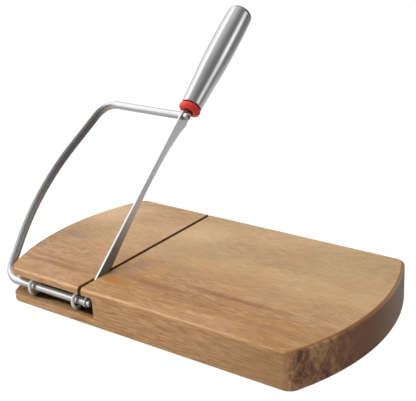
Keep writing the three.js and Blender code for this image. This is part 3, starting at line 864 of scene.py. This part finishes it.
def blade_outline():
    """(reach, height, ground) round the blade; ground is 1 along the cutting edge and 0 elsewhere."""
    half = TANG_WIDTH / 2
    under = lean_point(177, -half)
    top = lean_point(179, half)
    points = [(0, -BLADE_FOOT_RADIUS, 0)]
    for reach, height in spline(EDGE_CURVE, 90):
        run_in = min(1, max(0, (reach - BEVEL_START) / BEVEL_RUN_IN))
        run_out = min(1, max(0, (BEVEL_END - reach) / BEVEL_RUN_OUT))
        points.append((reach, height, run_in * run_out))
    points += [(*p, 0) for p in bezier(points[-1][:2], (171, -8.6), (172, under[1]), under, 8)]
    end = TANG_END_REACH
    tang = [(end - 2, -half), (end, -half + 2), (end, half - 2), (end - 2, half)]
    points += [(*lean_point(*p), 0) for p in tang]
    points.append((*top, 0))
    points += [(*p, 0) for p in bezier(top, (177.5, top[1]), (177.5, BLADE_SPINE), (173.5, BLADE_SPINE), 8)]
    points += [(reach, BLADE_SPINE, 0) for reach in range(165, 0, -15)]
    points += [(*p, 0) for p in arc(0, 0, BLADE_FOOT_RADIUS, 90, 270, 24)[:-1]]
    return points


def build_blade():
    """Flat plate: each face ends short of the edge, which is ground thin below and just broken elsewhere."""
    points = blade_outline()
    count = len(points)
    half = BLADE_THICKNESS / 2
    flat_rings = {-1: [], 1: []}
    edge_rings = {-1: [], 1: []}
    bm = bmesh.new()
    for i, (reach, height, ground) in enumerate(points):
        before, after = points[i - 1], points[(i + 1) % count]
        along = Vector((after[0] - before[0], after[1] - before[1])).normalized()
        inward = Vector((-along.y, along.x))
        width = BLADE_EDGE_BREAK + ground * (BLADE_BEVEL - BLADE_EDGE_BREAK)
        plain = half - BLADE_EDGE_BREAK
        tip = plain + ground * (BLADE_EDGE_HALF_THICKNESS - plain)
        for side in (-1, 1):
            edge_rings[side].append(bm.verts.new((BLADE_X + side * tip, reach, height)))
            inner = Vector((reach, height)) + inward * width
            flat_rings[side].append(bm.verts.new((BLADE_X + side * half, inner.x, inner.y)))
    join_rings(bm, [flat_rings[-1], edge_rings[-1], edge_rings[1], flat_rings[1]])
    bm.faces.new(flat_rings[-1])
    bm.faces.new(flat_rings[1][::-1])
    blade = new_object("blade_plate", bm, ARM)
    for reach in (0, TOP_LEG_REACH):
        drill(blade, SCREW_HOLE / 2, BLADE_X - 3, BLADE_X + 3, reach, 0)
    drill(blade, TANG_PIN_DIAMETER / 2 + FIT_GAP, BLADE_X - 3, BLADE_X + 3, *lean_point(TANG_PIN_REACH, 0))
    smooth(blade, 12)
    return blade


def build_screw(name, reach, head_start):
    """Screw along X: ridged shank in the rod, round-edged head from head_start, six-sided socket."""
    head_end = head_start + SCREW_HEAD_LENGTH
    shank_start = LEG_END_X - SCREW_REACH_INTO_ROD
    head = SCREW_HEAD_DIAMETER / 2
    shank = SCREW_SHANK / 2
    root = shank - SCREW_THREAD_DEPTH
    chamfer = SCREW_END_CHAMFER
    outline = [(0, shank_start), (shank - chamfer, shank_start), (shank, shank_start + chamfer)]
    x = shank_start + 1
    while x < shank_start + SCREW_REACH_INTO_ROD - 1:
        outline += [(shank, x), (root, x + SCREW_THREAD_PITCH / 2), (shank, x + SCREW_THREAD_PITCH)]
        x += SCREW_THREAD_PITCH
    outline += [(shank, head_start), (head - 0.25, head_start)]
    outline += [(head - 0.07, head_start + 0.07), (head, head_start + 0.25)]
    outline += arc(head - SCREW_HEAD_ROUND, head_end - SCREW_HEAD_ROUND, SCREW_HEAD_ROUND, 0, 90, 8)
    outline.append((0, head_end))
    bm = turned(outline, "X", ROUND_SIDES)
    bmesh.ops.translate(bm, vec=(0, reach, 0), verts=bm.verts)
    screw = new_object(name, bm, ARM)
    socket = round_bar(SOCKET_ACROSS_CORNERS / 2, head_end - SOCKET_DEPTH, head_end + 1, reach, 0, 6)
    cut_away(screw, new_object("socket", socket, ARM))
    soften_edges(screw, 0.12, 2, 50)
    smooth(screw, 40)
    return screw


def build_washer(start):
    outer = WASHER_DIAMETER / 2
    inner = SCREW_HOLE / 2
    end = start + WASHER_THICKNESS
    outline = [
        (inner, start), (outer - WASHER_CHAMFER, start), (outer, start + WASHER_CHAMFER),
        (outer, end - WASHER_CHAMFER), (outer - WASHER_CHAMFER, end), (inner, end),
    ]
    bm = turned(outline, "X", ROUND_SIDES)
    bmesh.ops.translate(bm, vec=(0, TOP_LEG_REACH, 0), verts=bm.verts)
    washer = new_object("washer", bm, ARM)
    smooth(washer, 30)
    return washer


def grip_profile(inset):
    """(radius, reach) points along the grip's side and over its rounded end, moved inwards by inset."""
    side = [(radius - inset, reach) for reach, radius in spline(GRIP_CURVE, 48)]
    rounding = HANDLE_END_ROUND - inset
    flat = GRIP_CURVE[-1][1] - inset - rounding
    start = HANDLE_END - HANDLE_END_ROUND
    cap = [(flat + c, start + s) for c, s in arc(0, 0, rounding, 0, 90, 14)[1:]]
    return side + cap + [(0, start + rounding)]


def turned_on_grip(outline):
    """Body turned about the grip's axis."""
    bm = turned(outline, "Y", GRIP_SIDES)
    bmesh.ops.translate(bm, vec=(BLADE_X, 0, 0), verts=bm.verts)
    bmesh.ops.transform(bm, matrix=GRIP_LEAN, verts=bm.verts)
    return bm


def build_handle():
    outside = grip_profile(0)
    inside = grip_profile(HANDLE_WALL)
    radius, reach = outside[0]
    lip = HANDLE_MOUTH_ROUND
    mouth = [(radius - lip, reach), (radius - 0.07, reach + 0.07), (radius, reach + lip)]
    handle = new_object("handle_shell", turned_on_grip(mouth + outside[1:] + inside[::-1]), ARM)
    smooth(handle, 35, weighted=False)
    return handle


def build_collar():
    outer = COLLAR_DIAMETER / 2
    rounding = COLLAR_LENGTH / 2
    middle = COLLAR_START + rounding
    lip = COLLAR_HOLE_ROUND
    outline = [
        *arc(outer - rounding, middle, rounding, -90, 90, 28),
        (COLLAR_HOLE / 2, middle + rounding),
        *arc(COLLAR_HOLE / 2 + lip, COLLAR_START + lip, lip, 180, 270, 8),
    ]
    collar = new_object("collar_ring", turned_on_grip(outline), ARM)
    smooth(collar, 40, weighted=False)
    return collar


# ---- Finishes ----

BOW_SHADE_GREY = (0.255, 0.255, 0.26)
BLADE_REFLECTION_PALE = (0.84, 0.88, 0.95)
BLADE_REFLECTION_SLATE = (0.215, 0.25, 0.3)
BRUSH_TURN_X = -141


def bow_painted_shade(g, place):
    """Painted shade on the curved side, most of all towards the top, where the steel is also rougher and a
    little less metallic.
    """
    x, reach, _ = g.separate(place)
    side = g.ramp(x, -134, -142)
    shade_by_reach = g.math("MULTIPLY", g.ramp(reach, 4, 16), g.ramp(reach, 20, 130, 0.5, 0.95))
    return g.math("MULTIPLY", side, shade_by_reach), BOW_SHADE_GREY, 0.45, 0.9


def blade_painted_reflection(g, place):
    """Both faces take a painted reflection from the middle down, pale at first and slate grey at the foot,
    and are rougher and less metallic there; spine and edge stay bright.
    """
    _, reach, _ = g.separate(place)
    normal_x, _, _ = g.normal()
    face = g.ramp(g.math("ABSOLUTE", normal_x), 0.6, 0.95)
    painted_share = g.math("MULTIPLY", g.ramp(reach, 130, 75, 0, 0.95), face)
    foot = g.ramp(reach, 92, 34)
    painted_colour = g.mix(foot, BLADE_REFLECTION_PALE, BLADE_REFLECTION_SLATE)
    painted_metallic = g.ramp(foot, 0, 1, 0.85, 0.3, smooth=False)
    return painted_share, painted_colour, 0.22, painted_metallic


WOOD = wood_material()
BOW_STEEL = steel_material(
    "bow_steel", (0.67, 0.67, 0.68), 0.22, (0.04, 1.5, 1.5), wear_and_painted_tone=bow_painted_shade, turn_x=BRUSH_TURN_X
)
EYE_STEEL = steel_material("eye_steel", (0.94, 0.94, 0.93), 0.28, (1.2, 1.2, 1.2), metallic=0.5)
BLADE_STEEL = steel_material("blade_steel", (0.74, 0.74, 0.76), 0.3, (2.0, 0.05, 2.0), wear_and_painted_tone=blade_painted_reflection)
SCREW_STEEL = steel_material("screw_steel", (0.66, 0.66, 0.67), 0.22, (2.0, 2.0, 2.0))
HANDLE_STEEL = steel_material("handle_steel", (0.66, 0.66, 0.67), 0.2, (2.2, 0.035, 2.2))
PIN_STEEL = steel_material("pin_steel", (0.55, 0.55, 0.56), 0.3, (1.0, 1.0, 1.0))
COLLAR_RED = plastic_material("collar_red", (0.84, 0.052, 0.038), 0.3)
CORE_PLASTIC = plastic_material("core_plastic", (0.06, 0.06, 0.065), 0.5)


def finish_piece(obj, body, nodes, material):
    if body == "arm":
        # The lean goes into the mesh, so that the piece's own box lies along the whole object's axes
        obj.data.transform(Matrix.Rotation(ARM_LEAN, 4, "X"))
        obj.matrix_world = Matrix.Translation(PIVOT)
    obj.data.materials.clear()
    obj.data.materials.append(material)
    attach(obj, body)
    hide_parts(*nodes)


finish_piece(build_board(), "base", ["board"], WOOD)
finish_piece(build_eye("eye_left", EYE_X[0]), "base", ["hinge_eye_left"], EYE_STEEL)
finish_piece(build_eye("eye_right", EYE_X[1]), "base", ["hinge_eye_right"], EYE_STEEL)
finish_piece(build_bow(), "arm", ["bow"], BOW_STEEL)
finish_piece(build_blade(), "arm", ["blade"], BLADE_STEEL)
lower = build_screw("screw_lower", 0, SEAT_X)
finish_piece(lower, "arm", ["blade_screw_lower"], SCREW_STEEL)
upper = build_screw("screw_upper", TOP_LEG_REACH, SEAT_X + WASHER_THICKNESS + SEAT_GAP)
finish_piece(upper, "arm", ["blade_screw_upper"], SCREW_STEEL)
finish_piece(build_washer(SEAT_X), "arm", ["blade_washer_upper"], SCREW_STEEL)
finish_piece(build_collar(), "arm", ["collar"], COLLAR_RED)
finish_piece(build_handle(), "arm", ["handle"], HANDLE_STEEL)

# Two hidden pieces keep their CAD shapes
for node, material in (("handle_core", CORE_PLASTIC), ("tang_pin", PIN_STEEL)):
    obj = frame["nodes"][node]
    obj.data.materials.clear()
    obj.data.materials.append(material)

# ---- Stage ----

# The camera sees a background this white, and a floor of it with a small share of lit paper
WHITE = 1.12
PAPER_SHARE = 0.1

# Strength of the light that the floor gives to the object
FLOOR_LEFT = 0.6
FLOOR_RIGHT = 0.25
FLOOR_FRONT_EXTRA = 0.1
FLOOR_BACK_EXTRA = 0.3
FLOOR_FRONT_BOUNCE = 0.3


def build_floor():
    """Paper that looks white to the camera; its light on the object varies from place to place."""
    bm = bmesh.new()
    bmesh.ops.create_grid(bm, x_segments=1, y_segments=1, size=4000)
    floor = new_object("floor", bm, Matrix.Translation((0, 0, -0.0004)))
    material, g = new_material("floor_paper")
    glow = g.node("ShaderNodeEmission", inputs={"Color": (1, 1, 1), "Strength": WHITE})
    paper = g.node("ShaderNodeBsdfDiffuse", inputs={"Color": (0.9, 0.9, 0.9)})
    seen = g.blend(PAPER_SHARE, glow.outputs[0], paper.outputs[0])
    x, y, _ = g.separate(g.millimetres())
    level = g.ramp(x, -320, 260, FLOOR_LEFT, FLOOR_RIGHT)
    level = g.math("ADD", level, g.ramp(y, 60, -200, 0, FLOOR_FRONT_EXTRA))
    behind = g.math("MULTIPLY", g.ramp(y, 110, 250), g.ramp(y, 700, 350, 0, FLOOR_BACK_EXTRA))
    level = g.math("ADD", level, behind)
    rays = g.node("ShaderNodeLightPath")
    near = g.math("MULTIPLY", rays.outputs["Is Diffuse Ray"], g.ramp(y, -20, -120, 0, FLOOR_FRONT_BOUNCE))
    level = g.math("ADD", level, near)
    bounce = g.node("ShaderNodeEmission", inputs={"Color": (1, 1, 1), "Strength": level})
    g.finish(g.blend(rays.outputs["Is Camera Ray"], bounce.outputs[0], seen))
    floor.data.materials.append(material)


def glow_lobe(g, direction, centre, width, strength):
    """Soft round light seen in the metal, brightest towards centre."""
    away = g.vector_math("DISTANCE", direction, centre).outputs["Value"]
    fall = g.math("MULTIPLY", g.math("MULTIPLY", away, away), -1 / (width * width))
    return g.math("MULTIPLY", g.math("EXPONENT", fall), strength)


def build_world():
    """White for the camera, a dim room for scattered light, and three glows for the metal's reflections."""
    world = bpy.data.worlds.new("studio")
    SCENE.world = world
    world.use_nodes = True
    g = Graph(world.node_tree)
    direction = g.node("ShaderNodeTexCoord").outputs["Generated"]
    x, y, z = g.separate(direction)

    lift = g.ramp(z, -0.2, 0.9, 0.14, 0.5)
    left = g.ramp(x, 0.5, -0.9, 0.45, 1.5)
    room = g.node("ShaderNodeBackground", inputs={"Strength": g.math("MULTIPLY", lift, left)})

    side = g.math("MULTIPLY", g.ramp(x, -0.36, -0.6), g.ramp(z, -0.15, 0.25))
    side = g.math("MULTIPLY", side, g.ramp(y, 0.55, -0.1, 0.85, 1.6))
    top = glow_lobe(g, direction, centre=(-0.22, 0.06, 0.97), width=0.48, strength=0.85)
    strip = glow_lobe(g, direction, centre=(0.885, 0.28, 0.375), width=0.21, strength=2.1)
    mirrored = g.math("ADD", g.math("ADD", side, top), g.math("ADD", strip, 0.24))
    studio = g.node("ShaderNodeBackground", inputs={"Strength": mirrored})

    white = g.node("ShaderNodeBackground", inputs={"Color": (1, 1, 1), "Strength": WHITE})
    rays = g.node("ShaderNodeLightPath")
    lit = g.blend(rays.outputs["Is Glossy Ray"], room.outputs[0], studio.outputs[0])
    g.finish(g.blend(rays.outputs["Is Camera Ray"], lit, white.outputs[0]), "ShaderNodeOutputWorld")


def softbox(name, place, target, width, height, watts):
    light = bpy.data.lights.new(name, "AREA")
    light.shape = "RECTANGLE"
    light.size = width
    light.size_y = height
    light.energy = watts
    obj = bpy.data.objects.new(name, light)
    SCENE.collection.objects.link(obj)
    aim = (Vector(target) - Vector(place)).to_track_quat("-Z", "Y").to_matrix().to_4x4()
    obj.matrix_world = Matrix.Translation(place) @ aim
    obj.visible_glossy = False


build_floor()
build_world()
softbox("top_box", (-0.25, -0.25, 1.5), (0, 0, 0), width=1.3, height=1.1, watts=16)
softbox("left_box", (-1.1, -1.25, 0.75), (-0.05, 0, 0.08), width=0.8, height=0.7, watts=11)

CAMERA_PLACE = Vector((0.42843, -0.55147, 0.35291))
CAMERA_YAW = math.radians(127.406)
CAMERA_PITCH = math.radians(21.212)
CAMERA_ROLL = math.radians(-2.974)
CAMERA_LENS = 85.09
CAMERA_SENSOR = 36


def build_camera():
    """Camera at CAMERA_PLACE; yaw turns it from +X, pitch tips it down and roll tilts its picture."""
    yaw, pitch, roll = CAMERA_YAW, CAMERA_PITCH, CAMERA_ROLL
    ahead = Vector((math.cos(yaw) * math.cos(pitch), math.sin(yaw) * math.cos(pitch), -math.sin(pitch)))
    level = Vector((math.sin(yaw), -math.cos(yaw), 0))
    above = level.cross(ahead)
    right = level * math.cos(roll) + above * math.sin(roll)
    up = above * math.cos(roll) - level * math.sin(roll)
    data = bpy.data.cameras.new("camera")
    data.lens = CAMERA_LENS
    data.sensor_width = CAMERA_SENSOR
    data.clip_start = 0.05
    data.clip_end = 30
    camera = bpy.data.objects.new("camera", data)
    SCENE.collection.objects.link(camera)
    turn = Matrix((right, up, -ahead)).transposed().to_4x4()
    camera.matrix_world = Matrix.Translation(CAMERA_PLACE) @ turn
    SCENE.camera = camera


build_camera()
SCENE.view_settings.view_transform = "Standard"
